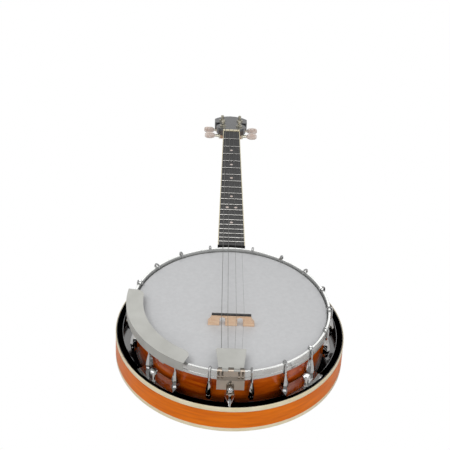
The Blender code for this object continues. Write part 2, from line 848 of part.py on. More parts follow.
def build_tuner(index, x, s, button_start):
    # All in the headstock's frame: X across, Y along, Z out of the face.
    frame = head_frame()
    side = 1 if x > 0 else -1
    back = -HEADSTOCK_THICKNESS - GAP
    floor = -WORM_DEPTH - 0.0031
    pocket = shifted(rounded_box(0.0080, 0.0106, 0.0030), x, s - 0.0028)
    casing = prism("casing", pocket, floor - 0.0012, back)
    housing = add_object("tuner_housing_%d" % index, casing, CHROME, frame)
    bushing = cylinder("bushing", BUSHING_RADIUS, (x, s, back - 0.0008), (x, s, GAP + 0.0010))
    washer = cylinder("washer", 0.0066, (x, s, GAP), (x, s, GAP + 0.0022), 6)
    worm_s = s - WORM_OFFSET
    collar_end = side * (button_start - 0.0007)
    collar = cylinder(
        "collar",
        0.0029,
        (x + side * 0.0060, worm_s, -WORM_DEPTH),
        (collar_end, worm_s, -WORM_DEPTH),
    )
    shape(housing, "UNION", [bushing, washer, collar])
    roof = back - 0.0012
    gear_room = cylinder("gear_room", GEAR_RADIUS + 0.0004, (x, s, floor), (x, s, roof), 20)
    worm_room = block(
        "worm_room",
        x - 0.0056,
        x + 0.0056,
        worm_s - WORM_RADIUS - 0.0005,
        s,
        floor,
        roof,
    )
    post_bore = cylinder("post_bore", POST_RADIUS + GAP, (x, s, floor + 0.001), (x, s, 0.02))
    shaft_bore = cylinder(
        "shaft_bore",
        0.0015 + GAP,
        (x - side * 0.002, worm_s, -WORM_DEPTH),
        (side * (button_start + 0.01), worm_s, -WORM_DEPTH),
        12,
    )
    shape(housing, "DIFFERENCE", [gear_room, worm_room, post_bore, shaft_bore])

    gear_top = roof - GAP
    gear_low = floor + GAP
    top = POST_RISE
    profile = [
        (0.0, top),
        (POST_RADIUS * 0.7, top),
        (POST_RADIUS, top - 0.0008),
        (POST_RADIUS, top - 0.0028),
        (POST_RADIUS * 0.80, top - 0.0042),
        (POST_RADIUS * 0.80, 0.0030),
        (POST_RADIUS, 0.0024),
        (POST_RADIUS, gear_top),
        (GEAR_RADIUS, gear_top),
        (GEAR_RADIUS, gear_low),
        (0.0, gear_low),
    ]
    post = lathe("tuner_post", profile, segments=14, closed=False)
    place = frame @ Matrix.Translation((x, s, 0.0))
    add_object("tuner_post_%d" % index, post, CHROME, place)

    # The worm shaft runs along its own Z axis, out to the button.
    start = button_start - abs(x)
    outer = start + BUTTON_LENGTH
    profile = [
        (0.0, -0.0050),
        (WORM_RADIUS, -0.0050),
        (WORM_RADIUS, 0.0050),
        (0.0015, 0.0050),
        (0.0015, start + 0.002),
        (0.0, start + 0.002),
    ]
    shaft = lathe("tuner_button", profile, segments=12, closed=False)
    turn = Matrix.Rotation(math.radians(90.0 * side), 4, "Y")
    place = frame @ Matrix.Translation((x, worm_s, -WORM_DEPTH)) @ turn
    button = add_object("tuner_button_%d" % index, shaft, PEARLOID, place)
    rings = []
    for share, size in ((0.0, 0.42), (0.10, 0.72), (0.30, 0.94), (0.55, 1.0), (0.80, 0.92), (0.94, 0.70), (1.0, 0.45)):
        z = start + (outer - start) * share
        ring = []
        for step in range(14):
            angle = 2.0 * math.pi * step / 14
            wide = BUTTON_WIDTH / 2 * size * math.cos(angle)
            thick = BUTTON_THICKNESS / 2 * (0.4 + 0.6 * size) * math.sin(angle)
            ring.append((wide, thick, z))
        rings.append(ring)
    shape(button, "UNION", [loft("button", rings)])


def build_tuners():
    index = 1
    for side in (-1, 1):
        for x, s, start in zip(POST_X, POST_S, BUTTON_START):
            build_tuner(index, side * x, s, start)
            index += 1


# Tailpiece
def build_tailpiece_base():
    y0 = TAIL_Y
    y1 = TAIL_Y - PLATE
    step = 0.0038
    top = HINGE_Z - KNUCKLE_RADIUS - GAP
    shelf = HOOP_TOP - 0.0265
    outline = [
        (y0, top),
        (y0, HOOP_TOP - 0.0078),
        (y0 - step, HOOP_TOP - 0.0108),
        (y0 - step, shelf),
        (y1 - step, shelf),
        (y1 - step, HOOP_TOP - 0.0102),
        (y1, HOOP_TOP - 0.0072),
        (y1, top),
    ]
    plate = side_prism("tailpiece_base", outline, -BASE_HALF_WIDTH, BASE_HALF_WIDTH)
    base = add_object("tailpiece_base", plate, NICKEL)
    tongue = block("tongue", -0.0052, 0.0052, STUD_Y - 0.0048, y1 - step + 0.0006, shelf, shelf + PLATE)
    parts = [tongue]
    tabs = []
    pegs = []
    for left, right in ((-0.0180, -0.0122), (-0.0035, 0.0035), (0.0122, 0.0180)):
        knuckle = cylinder("knuckle", KNUCKLE_RADIUS, (left, HINGE_Y, HINGE_Z), (right, HINGE_Y, HINGE_Z), 14)
        tabs.append(knuckle)
        parts.append(block("tab", left, right, y1, y0, top - 0.001, HINGE_Z - 0.0012))
    pin = cylinder("pin", PIN_RADIUS, (-0.0175, HINGE_Y, HINGE_Z), (0.0175, HINGE_Y, HINGE_Z), 12)
    for x in STRING_X_PEG:
        z = HOOP_TOP - 0.0030
        pegs.append(cylinder("peg", 0.0009, (x, y0 - 0.0006, z), (x, y1 - 0.0037, z), 8))
        pegs.append(cylinder("peg_head", 0.0016, (x, y1 - 0.0034, z), (x, y1 - 0.0042, z), 8))
    shape(base, "UNION", parts)
    shape(base, "UNION", [merged("knuckles", tabs), pin])
    shape(base, "UNION", pegs)
    holes = []
    for x in STRING_X_PEG:
        z = HOOP_TOP + 0.0014
        holes.append(cylinder("string_hole", 0.0008, (x, y0 + 0.002, z), (x, y1 - 0.002, z), 10))
    stud = cylinder("stud_hole", 0.0022, (0.0, STUD_Y, shelf - 0.003), (0.0, STUD_Y, shelf + 0.004))
    shape(base, "DIFFERENCE", [merged("string_holes", holes), stud])


def build_tailpiece_cover():
    low = HINGE_Z + 0.0007
    rear = HINGE_Y + KNUCKLE_RADIUS + 2 * GAP
    front = HINGE_Y + COVER_LENGTH
    outline = [
        (-COVER_REAR, rear),
        (COVER_REAR, rear),
        (COVER_FRONT, front - 0.0020),
        (COVER_FRONT - 0.0020, front),
        (-COVER_FRONT + 0.0020, front),
        (-COVER_FRONT, front - 0.0020),
    ]
    plate = prism("tailpiece_cover", outline, low, low + PLATE)
    place = Matrix.Translation((0.0, HINGE_Y, HINGE_Z))
    plate.transform(place.inverted())
    cover = add_object("tailpiece_cover", plate, NICKEL, place)
    knuckles = []
    arms = []
    for left, right in ((-0.0119, -0.0038), (0.0038, 0.0119)):
        knuckles.append(cylinder("knuckle", KNUCKLE_RADIUS, (left, 0.0, 0.0), (right, 0.0, 0.0), 14))
        arms.append(block("arm", left, right, 0.0009, rear - HINGE_Y + 0.001, 0.0007, 0.0007 + PLATE))
    bore = cylinder("pin_bore", PIN_RADIUS + GAP, (-0.02, 0.0, 0.0), (0.02, 0.0, 0.0), 12)
    shape(cover, "UNION", [merged("knuckles", knuckles), merged("arms", arms)])
    shape(cover, "DIFFERENCE", [bore])
    return low


def build_tail_hanger():
    leg_in = -(RIM_RADIUS + 2 * GAP)
    leg_out = leg_in - 0.0020
    low = BRACKET_Z
    high = BRACKET_Z + PLATE
    apex = -(RESONATOR_RADIUS - 0.0012)
    wide = 0.0070
    outline = [
        (-wide, leg_in),
        (-wide, -RIM_RADIUS - 0.0080),
        (-0.0012, apex),
        (0.0012, apex),
        (wide, -RIM_RADIUS - 0.0080),
        (wide, leg_in),
    ]
    flange = add_object("tail_hanger", prism("tail_hanger", outline, low, high), CHROME)
    leg = block("leg", -wide, wide, leg_out, leg_in, ROD_Z - 0.0085, high)
    stud_top = HOOP_TOP - 0.0160
    stud = cylinder("stud", 0.00175, (0.0, STUD_Y, low + 0.0003), (0.0, STUD_Y, stud_top), 12)
    shelf = HOOP_TOP - 0.0265
    under = lathe(
        "dome_nut",
        [(0.0, shelf - GAP), (0.0032, shelf - GAP), (0.0032, shelf - 0.0030), (0.0022, shelf - 0.0050), (0.0, shelf - 0.0054)],
        segments=14,
        closed=False,
    )
    seat = shelf + PLATE + GAP
    ball = [(0.0, seat), (0.0034, seat)]
    for step in range(-2, 6):
        angle = math.radians(15.0 * step)
        ball.append((0.0045 * math.cos(angle), seat + 0.0030 + 0.0045 * math.sin(angle)))
    ball.append((0.0, seat + 0.0075))
    acorn = lathe("acorn_nut", ball, segments=14, closed=False)
    for mesh in (under, acorn):
        mesh.transform(Matrix.Translation((0.0, STUD_Y, 0.0)))
    shape(flange, "UNION", [leg, stud, under, acorn])
    hole = cylinder("rod_hole", 0.003 + GAP, (0.0, leg_in + 0.004, ROD_Z), (0.0, leg_out - 0.004, ROD_Z))
    shape(flange, "DIFFERENCE", [hole])


def armrest_outline(start, end):
    # A sector whose two inner corners are rounded by a quarter turn each.
    outline = []
    for step in range(21):
        angle = math.radians(start + (end - start) * step / 20)
        outline.append((ARMREST_OUTER * math.cos(angle), ARMREST_OUTER * math.sin(angle)))
    centre = ARMREST_INNER + ARMREST_CORNER
    inset = math.degrees(ARMREST_CORNER / centre)
    low = start + inset
    high = end - inset
    for edge, turn in ((high, 1.0), (low, -1.0)):
        middle = Vector((centre * math.cos(math.radians(edge)), centre * math.sin(math.radians(edge))))
        for step in range(6):
            share = step / 5.0 if turn > 0.0 else 1.0 - step / 5.0
            angle = math.radians(edge + turn * (90.0 + 90.0 * share))
            reach = Vector((math.cos(angle), math.sin(angle))) * ARMREST_CORNER
            outline.append(tuple(middle + reach))
        if turn > 0.0:
            for step in range(1, 16):
                angle = math.radians(high + (low - high) * step / 16)
                outline.append((ARMREST_INNER * math.cos(angle), ARMREST_INNER * math.sin(angle)))
    return outline


def build_armrest():
    start = ARMREST_FROM - 90.0
    end = ARMREST_TO - 90.0
    plate = prism("armrest", armrest_outline(start, end), ARMREST_Z, ARMREST_Z + PLATE)
    rest = add_object("armrest", plate, SATIN)
    skirt_outline = sector(ARMREST_OUTER - 0.0009, ARMREST_OUTER - 0.0001, start + 0.2, end - 0.2, 18)
    skirt = prism("skirt", skirt_outline, ARMREST_Z + PLATE - ARMREST_SKIRT, ARMREST_Z + 0.0006)
    angles = hook_angles()
    spots = (-(angles[1] + angles[2]) / 2, -(angles[3] + angles[4]) / 2)
    inner = HOOP_OUTER + GAP
    outer = inner + 0.0015
    under = HOOP_TOP - HOOP_HEIGHT - GAP
    high = ARMREST_Z + 0.0005
    parts = []
    for angle in spots:
        turn = turned(angle)
        leg = block("leg", inner, outer, -0.0045, 0.0045, under - 0.0013, high)
        foot = block("foot", HOOP_OUTER - 0.0019, inner + 0.0005, -0.0041, 0.0041, under - 0.0011, under)
        pad_top = high - 0.0002
        pad = block("pad", HOOP_INNER + 0.0003, inner + 0.0007, -0.0043, 0.0043, HOOP_TOP + GAP, pad_top)
        screw = cylinder("screw", 0.0020, (outer - 0.0005, 0.0, under + 0.005), (outer + 0.0020, 0.0, under + 0.005), 10)
        for mesh in (leg, foot, pad, screw):
            mesh.transform(turn)
            parts.append(mesh)
    shape(rest, "UNION", parts + [skirt])


# Strings
def string_path(index, cap_top, nut_top, cover_low):
    radius = STRING_RADII[index]
    peg_x = STRING_X_PEG[index]
    plate_y = TAIL_Y - PLATE
    peg_z = HOOP_TOP - 0.0030
    loop = 0.0009 + GAP + radius
    loop_y = plate_y - GAP - 0.0011
    path = []
    for step in range(7):
        angle = math.radians(60.0 + 50.0 * (6 - step))
        path.append((peg_x + loop * math.cos(angle), loop_y, peg_z + loop * math.sin(angle)))
    hole_z = HOOP_TOP + 0.0014
    path.append((peg_x, plate_y - 0.0009, hole_z - 0.0009))
    path.append((peg_x, plate_y - 0.0002, hole_z))
    path.append((peg_x, TAIL_Y + 0.0006, hole_z + 0.00005))
    path.append((STRING_X_COVER[index], HINGE_Y + COVER_LENGTH - 0.0010, cover_low - GAP - radius))
    path.append((STRING_X_BRIDGE[index], BRIDGE_Y - 0.0012, cap_top + GAP + radius))
    path.append((STRING_X_BRIDGE[index], BRIDGE_Y + 0.0012, cap_top + GAP + radius))
    nut_z = nut_top + GAP + radius
    path.append((STRING_X_NUT[index], NUT_Y + 0.0003, nut_z))
    path.append((STRING_X_NUT[index], NUT_Y + NUT_LENGTH, nut_z - 0.0001))
    side = -1 if index < 2 else 1
    lower = index in (0, 3)
    x = side * (POST_X[0] if lower else POST_X[1])
    s = POST_S[0] if lower else POST_S[1]
    coil = POST_RADIUS + GAP + radius
    frame = head_frame()
    turns = 14
    for step in range(turns + 1):
        angle = 2.0 * math.pi * step / 8
        drop = 0.0011 * step / 8
        point = Vector((x - side * coil * math.cos(angle), s + coil * math.sin(angle), 0.0052 - drop))
        path.append(frame @ point)
    return path


def build_strings(cap_top, nut_top, cover_low):
    for index, radius in enumerate(STRING_RADII):
        path = string_path(index, cap_top, nut_top, cover_low)
        name = "string_%d" % (4 - index)
        add_object(name, sweep(name, path, radius, 6), STRING_STEEL)


for old in list(bpy.data.objects):
    bpy.data.objects.remove(old)

MODEL = new_collection("tenor_banjo")
CUTTERS = new_collection("cutters")

CHROME = new_material("chrome", (0.78, 0.78, 0.78), 0.08, 1.0)
NICKEL = new_material("nickel", (0.72, 0.71, 0.68), 0.15, 1.0)
SATIN = new_material("satin_metal", (0.50, 0.50, 0.47), 0.32, 1.0)
STEEL = new_material("steel", (0.45, 0.45, 0.46), 0.30, 1.0)
STRING_STEEL = new_material("string_steel", (0.62, 0.62, 0.62), 0.22, 1.0)
AMBER = new_material("amber_wood", (0.40, 0.055, 0.008), 0.15, 0.0)
ORANGE = new_material("orange_wood", (0.80, 0.21, 0.012), 0.15, 0.0)
MAPLE = new_material("maple", (0.90, 0.63, 0.42), 0.45, 0.0)
EBONY = new_material("ebony", (0.02, 0.02, 0.02), 0.40, 0.0)
BLACK_LACQUER = new_material("black_lacquer", (0.008, 0.008, 0.009), 0.08, 0.0)
FACE_BLACK = new_material("face_black", (0.03, 0.03, 0.032), 0.12, 0.0)
SKIN_WHITE = new_material("head_white", (0.64, 0.64, 0.65), 0.50, 0.0)
CREAM = new_material("cream_plastic", (0.90, 0.80, 0.55), 0.30, 0.0)
PEARLOID = new_material("pearloid", (0.80, 0.66, 0.58), 0.25, 0.0)

build_rim()
build_head()
build_tension_hoop()
build_hooks()
build_resonator_side()
build_resonator_lip()
build_resonator_back()
build_binding()
build_brackets()
build_thumbscrews()
build_coordinator_rod()
BRIDGE_TOP = build_bridge()
build_neck()
build_headstock_face()
build_fingerboard()
NUT_TOP = build_nut()
build_tuners()
build_tailpiece_base()
COVER_LOW = build_tailpiece_cover()
build_tail_hanger()
build_armrest()
build_strings(BRIDGE_TOP, NUT_TOP, COVER_LOW)
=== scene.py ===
import math

import bmesh
import bpy
from mathutils import Matrix, Vector


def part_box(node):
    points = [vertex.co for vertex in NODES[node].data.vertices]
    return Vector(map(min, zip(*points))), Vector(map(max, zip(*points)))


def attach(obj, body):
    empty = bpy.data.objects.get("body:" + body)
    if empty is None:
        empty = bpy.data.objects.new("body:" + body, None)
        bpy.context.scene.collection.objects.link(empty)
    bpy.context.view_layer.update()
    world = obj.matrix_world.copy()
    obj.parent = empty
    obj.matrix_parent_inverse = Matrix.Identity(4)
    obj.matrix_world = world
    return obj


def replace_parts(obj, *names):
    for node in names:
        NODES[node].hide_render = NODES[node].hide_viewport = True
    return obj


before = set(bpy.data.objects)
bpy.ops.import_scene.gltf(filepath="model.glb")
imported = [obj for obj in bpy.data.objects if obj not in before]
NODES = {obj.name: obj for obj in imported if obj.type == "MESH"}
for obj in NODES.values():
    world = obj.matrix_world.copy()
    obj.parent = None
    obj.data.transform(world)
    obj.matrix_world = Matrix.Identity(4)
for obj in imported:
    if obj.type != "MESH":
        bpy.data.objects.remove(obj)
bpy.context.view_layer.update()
ROOT = "banjo"
ROUND = 240

# Sizes read from the frame
HOOP_LOW, HOOP_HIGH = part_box("tension_hoop")
RIM_LOW, RIM_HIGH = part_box("rim")
HEAD_LOW, HEAD_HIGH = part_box("head")
LIP_LOW, LIP_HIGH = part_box("resonator_lip")
SIDE_LOW, SIDE_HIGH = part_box("resonator_side")
BACK_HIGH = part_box("resonator_back")[1]
BAND_LOW, BAND_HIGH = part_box("resonator_binding")
BOARD_LOW, BOARD_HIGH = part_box("fingerboard")
BRIDGE_LOW, BRIDGE_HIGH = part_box("bridge_cap")
HANGER_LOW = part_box("tail_hanger")[0]
HOOP_TOP = HOOP_HIGH[2]
HOOP_R = HOOP_HIGH[0]
RIM_R = RIM_HIGH[0]
LIP_R = -LIP_LOW[0]
SIDE_R = SIDE_HIGH[0]
BAND_R = BAND_HIGH[0]
BACK_R = BACK_HIGH[0]
BRIDGE_Y = (BRIDGE_LOW[1] + BRIDGE_HIGH[1]) / 2

# Pot sizes
RIM_WALL = 0.0110
RIM_CHAMFER = 0.0015
SKIN = 0.0005
SKIN_CLEARANCE = 0.0003
FLESH_HEIGHT = 0.0030
HOOP_TOP_WIDTH = 0.0036
HOOP_SKIRT = 0.0023
HOOP_GROOVE = 0.0093
HOOP_SHOULDER = 0.0102

# Resonator sizes
CREAM_WIDTH = 0.0012
CREAM_ROUND = 0.0005
LIP_INNER = 0.1545
LIP_THICK = 0.0040
NOTCH_HALF = 0.0190
SIDE_WALL = 0.0047
SIDE_LIP = 0.0015
SIDE_GAP = 0.0003
BOTTOM_EDGING_HEIGHT = 0.0061
BACK_FLAT = 0.1000
BACK_THICK = 0.0040
BACK_RIM_WIDTH = 0.0032
BACK_INNER_SHARE = 0.93
BACK_STEPS = 10
INSIDE_NORMAL = 0.3

# Hanger sizes
FLANGE_THICK = 0.0016
FLANGE_HALF = 0.0060
FLANGE_BACK = 0.0082
TIP_INSET = 0.0012
EDGE_WIRE = 0.0005

# Neck sizes
SCALE = 0.5842
NECK_SLOPE = 0.0425
BOARD_HALF_GROWTH = 0.0145
EDGING_DEPTH = 0.0049
EDGING_PROUD = 0.00006
FRET_COUNT = 19
FIRST_FRET_ROOM = 0.004
FRET_FOOT = 0.0010
FRET_CROWN = 0.0006
FRET_HEIGHT = 0.00102
INLAY_RADIUS = 0.0026
INLAY_PROUD = 0.00002
INLAYS = ((3, 0.0), (5, 0.0), (7, 0.0), (10, 0.0), (12, -0.007), (12, 0.007), (15, 0.0))


# Materials
def link(tree, source, target):
    tree.links.new(source, target)


def plain(name, colour, roughness, metallic=0.0, coat=0.0):
    material = bpy.data.materials.new(name)
    material.use_nodes = True
    shader = material.node_tree.nodes["Principled BSDF"]
    shader.inputs["Base Color"].default_value = (*colour, 1.0)
    shader.inputs["Roughness"].default_value = roughness
    shader.inputs["Metallic"].default_value = metallic
    shader.inputs["Coat Weight"].default_value = coat
    shader.inputs["Coat Roughness"].default_value = 0.03
    return material


def grained(name, dark, light, roughness, stretch, scale, coat=1.0, metallic=0.0, bump=0.0):
    # Mixes two colours by noise, which is finer along an axis with a larger stretch.
    material = plain(name, light, roughness, metallic, coat)
    tree = material.node_tree
    shader = tree.nodes["Principled BSDF"]
    where = tree.nodes.new("ShaderNodeTexCoord")
    mapping = tree.nodes.new("ShaderNodeMapping")
    mapping.inputs["Scale"].default_value = stretch
    noise = tree.nodes.new("ShaderNodeTexNoise")
    noise.inputs["Scale"].default_value = scale
    noise.inputs["Detail"].default_value = 6.0
    ramp = tree.nodes.new("ShaderNodeValToRGB")
    ramp.color_ramp.elements[0].position = 0.35
    ramp.color_ramp.elements[0].color = (*dark, 1.0)
    ramp.color_ramp.elements[1].position = 0.68
    ramp.color_ramp.elements[1].color = (*light, 1.0)
    link(tree, where.outputs["Object"], mapping.inputs["Vector"])
    link(tree, mapping.outputs["Vector"], noise.inputs["Vector"])
    link(tree, noise.outputs["Fac"], ramp.inputs["Fac"])
    link(tree, ramp.outputs["Color"], shader.inputs["Base Color"])
    if bump > 0.0:
        relief = tree.nodes.new("ShaderNodeBump")
        relief.inputs["Strength"].default_value = bump
        relief.inputs["Distance"].default_value = 0.0002
        link(tree, noise.outputs["Fac"], relief.inputs["Height"])
        link(tree, relief.outputs["Normal"], shader.inputs["Normal"])
    return material


EVEN = (1, 1, 1)
CHROME = grained("Chrome", (0.55, 0.55, 0.55), (0.66, 0.66, 0.655), 0.07, EVEN, 60.0, 0.0, 1.0)
HOOP = grained("Hoop chrome", (0.62, 0.625, 0.61), (0.70, 0.705, 0.69), 0.24, EVEN, 60.0, 0.0, 0.85)
# The tailpiece base's brown tint is a painted reflection of the amber rim in its chrome.
MIRROR_PAINTED_REFLECTION = grained("Mirror plate painted reflection", (0.42, 0.36, 0.30), (0.50, 0.43, 0.36), 0.06, EVEN, 60.0, 0.0, 1.0)
WARM = grained("Warm nickel", (0.70, 0.66, 0.54), (0.84, 0.80, 0.66), 0.22, EVEN, 60.0, 0.0, 0.9)
NICKEL = grained("Nickel", (0.60, 0.59, 0.56), (0.72, 0.71, 0.68), 0.20, (1, 4, 1), 80.0, 0.0, 1.0)
SATIN = grained("Satin plate", (0.44, 0.44, 0.41), (0.50, 0.50, 0.47), 0.36, EVEN, 40.0, 0.0, 0.6)
AMBER = grained("Amber maple", (0.42, 0.050, 0.002), (0.72, 0.140, 0.005), 0.22, (1, 1, 6), 26.0, 0.15)
ORANGE = grained("Orange maple", (0.74, 0.15, 0.001), (0.90, 0.21, 0.001), 0.30, (1, 1, 12), 22.0, 0.0)
ORANGE.node_tree.nodes["Principled BSDF"].inputs["Specular IOR Level"].default_value = 0.18
BLACK = grained("Black lacquer", (0.004, 0.004, 0.005), (0.009, 0.009, 0.010), 0.12, EVEN, 20.0)
FACE = grained("Headstock face", (0.05, 0.05, 0.052), (0.08, 0.08, 0.084), 0.16, EVEN, 20.0)
BOARD_DARK = (0.018, 0.017, 0.017)
BOARD_LIGHT = (0.034, 0.033, 0.033)
BOARD = grained("Dark fingerboard", BOARD_DARK, BOARD_LIGHT, 0.42, (8, 1, 8), 60.0, 0.0, 0.0, 0.2)
HEAD_DARK = (0.66, 0.665, 0.675)
HEAD_LIGHT = (0.70, 0.705, 0.715)
HEAD = grained("Drum head", HEAD_DARK, HEAD_LIGHT, 0.55, EVEN, 180.0, 0.0, 0.0, 0.15)
CREAM = grained("Cream edging", (0.84, 0.74, 0.48), (0.92, 0.84, 0.62), 0.28, EVEN, 50.0, 0.3)
PEARL = grained("Pearl buttons", (0.74, 0.58, 0.50), (0.93, 0.84, 0.78), 0.18, EVEN, 160.0, 0.8)
MAPLE = grained("Bridge maple", (0.78, 0.50, 0.32), (0.90, 0.66, 0.46), 0.45, (1, 8, 8), 70.0, 0.0)
STRING = grained("String steel", (0.24, 0.24, 0.23), (0.36, 0.36, 0.35), 0.34, EVEN, 300.0, 0.0, 1.0)
STEEL = grained("Plain steel", (0.42, 0.42, 0.43), (0.50, 0.50, 0.51), 0.30, EVEN, 90.0, 0.0, 1.0)


# Shapes
def finish_piece(bm, name, material, body=ROOT, sharp=35.0):
    bmesh.ops.remove_doubles(bm, verts=bm.verts, dist=0.000001)
    bmesh.ops.recalc_face_normals(bm, faces=bm.faces)
    mesh = bpy.data.meshes.new(name)
    bm.to_mesh(mesh)
    bm.free()
    mesh.materials.append(material)
    mesh.polygons.foreach_set("use_smooth", [True] * len(mesh.polygons))
    mesh.set_sharp_from_angle(angle=math.radians(sharp))
    piece = bpy.data.objects.new(name, mesh)
    bpy.context.scene.collection.objects.link(piece)
    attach(piece, body)
    return piece


def softened(piece, width, segments=2):
    bevel = piece.modifiers.new("edges", "BEVEL")
    bevel.width = width
    bevel.segments = segments
    bevel.limit_method = "ANGLE"
    bevel.angle_limit = math.radians(40.0)
    return piece


def turned_ring(name, profile, material, closed=True, start=0.0, sweep=360.0):
    bm = bmesh.new()
    turn = Matrix.Rotation(math.radians(start), 3, "Z")
    verts = [bm.verts.new(turn @ Vector((radius, 0.0, z))) for radius, z in profile]
    pairs = list(zip(verts, verts[1:]))
    if closed:
        pairs.append((verts[-1], verts[0]))
    edges = [bm.edges.new(pair) for pair in pairs]
    full = sweep >= 360.0
    if not full:
        bm.faces.new(verts)
    bmesh.ops.spin(
        bm,
        geom=verts + edges,
        cent=(0.0, 0.0, 0.0),
        axis=(0.0, 0.0, 1.0),
        dvec=(0.0, 0.0, 0.0),
        angle=math.radians(sweep),
        steps=ROUND,
        use_merge=full,
        use_duplicate=False,
    )
    if not full:
        ends = [edge for edge in bm.edges if edge.is_boundary]
        bmesh.ops.holes_fill(bm, edges=ends, sides=0)
    return finish_piece(bm, name, material)


def cushion(points, width):
    # Cuts each corner of a closed outline with three points, so that turned edges catch the light.
    bulge = 0.29
    most = 0.4
    out = []
    for index, point in enumerate(points):
        here = Vector(point)
        before = Vector(points[index - 1]) - here
        after = Vector(points[(index + 1) % len(points)]) - here
        reach = min(width, before.length * most, after.length * most)
        out.append(tuple(here + before.normalized() * reach))
        out.append(tuple(here + (before.normalized() + after.normalized()) * reach * bulge))
        out.append(tuple(here + after.normalized() * reach))
    return out


def box_piece(name, corners, material, body=ROOT, edge=0.0002):
    bm = bmesh.new()
    verts = [bm.verts.new(corner) for corner in corners]
    sides = ((0, 1, 5, 4), (1, 2, 6, 5), (2, 3, 7, 6), (3, 0, 4, 7))
    for face in ((0, 1, 2, 3), (4, 5, 6, 7)) + sides:
        bm.faces.new([verts[index] for index in face])
    return softened(finish_piece(bm, name, material, body), edge)


# Pot
def build_rim():
    inner = RIM_R - RIM_WALL
    low, high = RIM_LOW[2], RIM_HIGH[2]
    profile = [
        (inner, low),
        (RIM_R, low),
        (RIM_R, high - RIM_CHAMFER),
        (RIM_R - RIM_CHAMFER, high),
        (inner, high),
    ]
    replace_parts(turned_ring("rim_wood", cushion(profile, 0.0012), AMBER), "rim")


def build_head():
    # The skin is turned over the rim's edge and ends in its flesh ring.
    top = HEAD_HIGH[2]
    flesh_r = HEAD_HIGH[0]
    skirt_in = RIM_R + SKIN_CLEARANCE
    skirt = skirt_in + SKIN
    flesh_top = HEAD_LOW[2] + FLESH_HEIGHT
    profile = [
        (0.0, top),
        (skirt - 0.0022, top),
        (skirt - 0.0012, top - 0.0003),
        (skirt - 0.0003, top - 0.0012),
        (skirt, top - 0.0022),
        (skirt, flesh_top),
        (flesh_r, flesh_top),
        (flesh_r, HEAD_LOW[2]),
        (skirt_in, HEAD_LOW[2]),
        (skirt_in, top - SKIN - 0.0016),
        (skirt_in - 0.0016, top - SKIN),
        (0.0, top - SKIN),
    ]
    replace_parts(turned_ring("head_skin", profile, HEAD, closed=False), "head")


def build_tension_hoop():
    bottom = HOOP_LOW[2]
    in_high = HOOP_R - HOOP_TOP_WIDTH
    in_low = HOOP_R - HOOP_SKIRT
    groove = HOOP_TOP - HOOP_GROOVE
    shoulder = HOOP_TOP - HOOP_SHOULDER
    profile = [
        (in_high, HOOP_TOP - 0.0004),
        (in_high + 0.0004, HOOP_TOP),
        (HOOP_R - 0.0005, HOOP_TOP),
        (HOOP_R, HOOP_TOP - 0.0005),
        (HOOP_R, groove + 0.0006),
        (HOOP_R - 0.0006, groove + 0.0002),
        (HOOP_R - 0.0006, groove - 0.0002),
        (HOOP_R, groove - 0.0006),
        (HOOP_R, bottom + 0.0004),
        (HOOP_R - 0.0004, bottom),
        (in_low, bottom),
        (in_low, shoulder),
        (in_high, shoulder),
    ]
    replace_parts(turned_ring("tension_hoop_metal", profile, HOOP), "tension_hoop")


def paint_inside(piece, chosen):
    # The inside of the bowl is black, as the lip is.
    piece.data.materials.append(BLACK)
    for face in piece.data.polygons:
        if chosen(face):
            face.material_index = 1


# Resonator
def build_lip():
    lip_top = LIP_HIGH[2]
    lip_low = lip_top - LIP_THICK
    profile = [(LIP_INNER, lip_top), (LIP_R, lip_top), (LIP_R, lip_low), (LIP_INNER, lip_low)]
    half = math.degrees(math.asin(NOTCH_HALF / LIP_INNER))
    sweep = 360.0 - 2.0 * half
    turned_ring("lip_ring", cushion(profile, 0.0005), BLACK, True, 90.0 + half, sweep)
    assign("resonator_lip", BLACK)


def edging(name, radius, top, low):
    inner = radius - CREAM_WIDTH
    profile = [(inner, top), (radius, top), (radius, low), (inner, low)]
    return turned_ring(name, cushion(profile, CREAM_ROUND), CREAM)


def build_side():
    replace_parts(edging("top_edging", BAND_R, BAND_HIGH[2], BAND_LOW[2]), "resonator_binding")
    inner = BAND_R - SIDE_WALL
    band_low = BAND_LOW[2] - SIDE_GAP
    edge_top = BACK_HIGH[2] + SIDE_GAP
    seat = SIDE_LOW[2]
    top = SIDE_HIGH[2]
    profile = [(inner, top), (LIP_R, top), (LIP_R, band_low), (BAND_R, band_low)]
    for step in range(1, 4):
        share = step / 4.0
        radius = BAND_R + (SIDE_R - BAND_R) * share
        profile.append((radius, band_low + (edge_top - band_low) * share))
    profile += [
        (SIDE_R, edge_top),
        (SIDE_R - SIDE_LIP, edge_top),
        (SIDE_R - SIDE_LIP, seat),
        (inner, seat),
    ]
    side = turned_ring("side_wood", profile, ORANGE)
    wall = inner + 0.0005
    paint_inside(side, lambda face: math.hypot(face.center.x, face.center.y) < wall)
    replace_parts(side, "resonator_side")


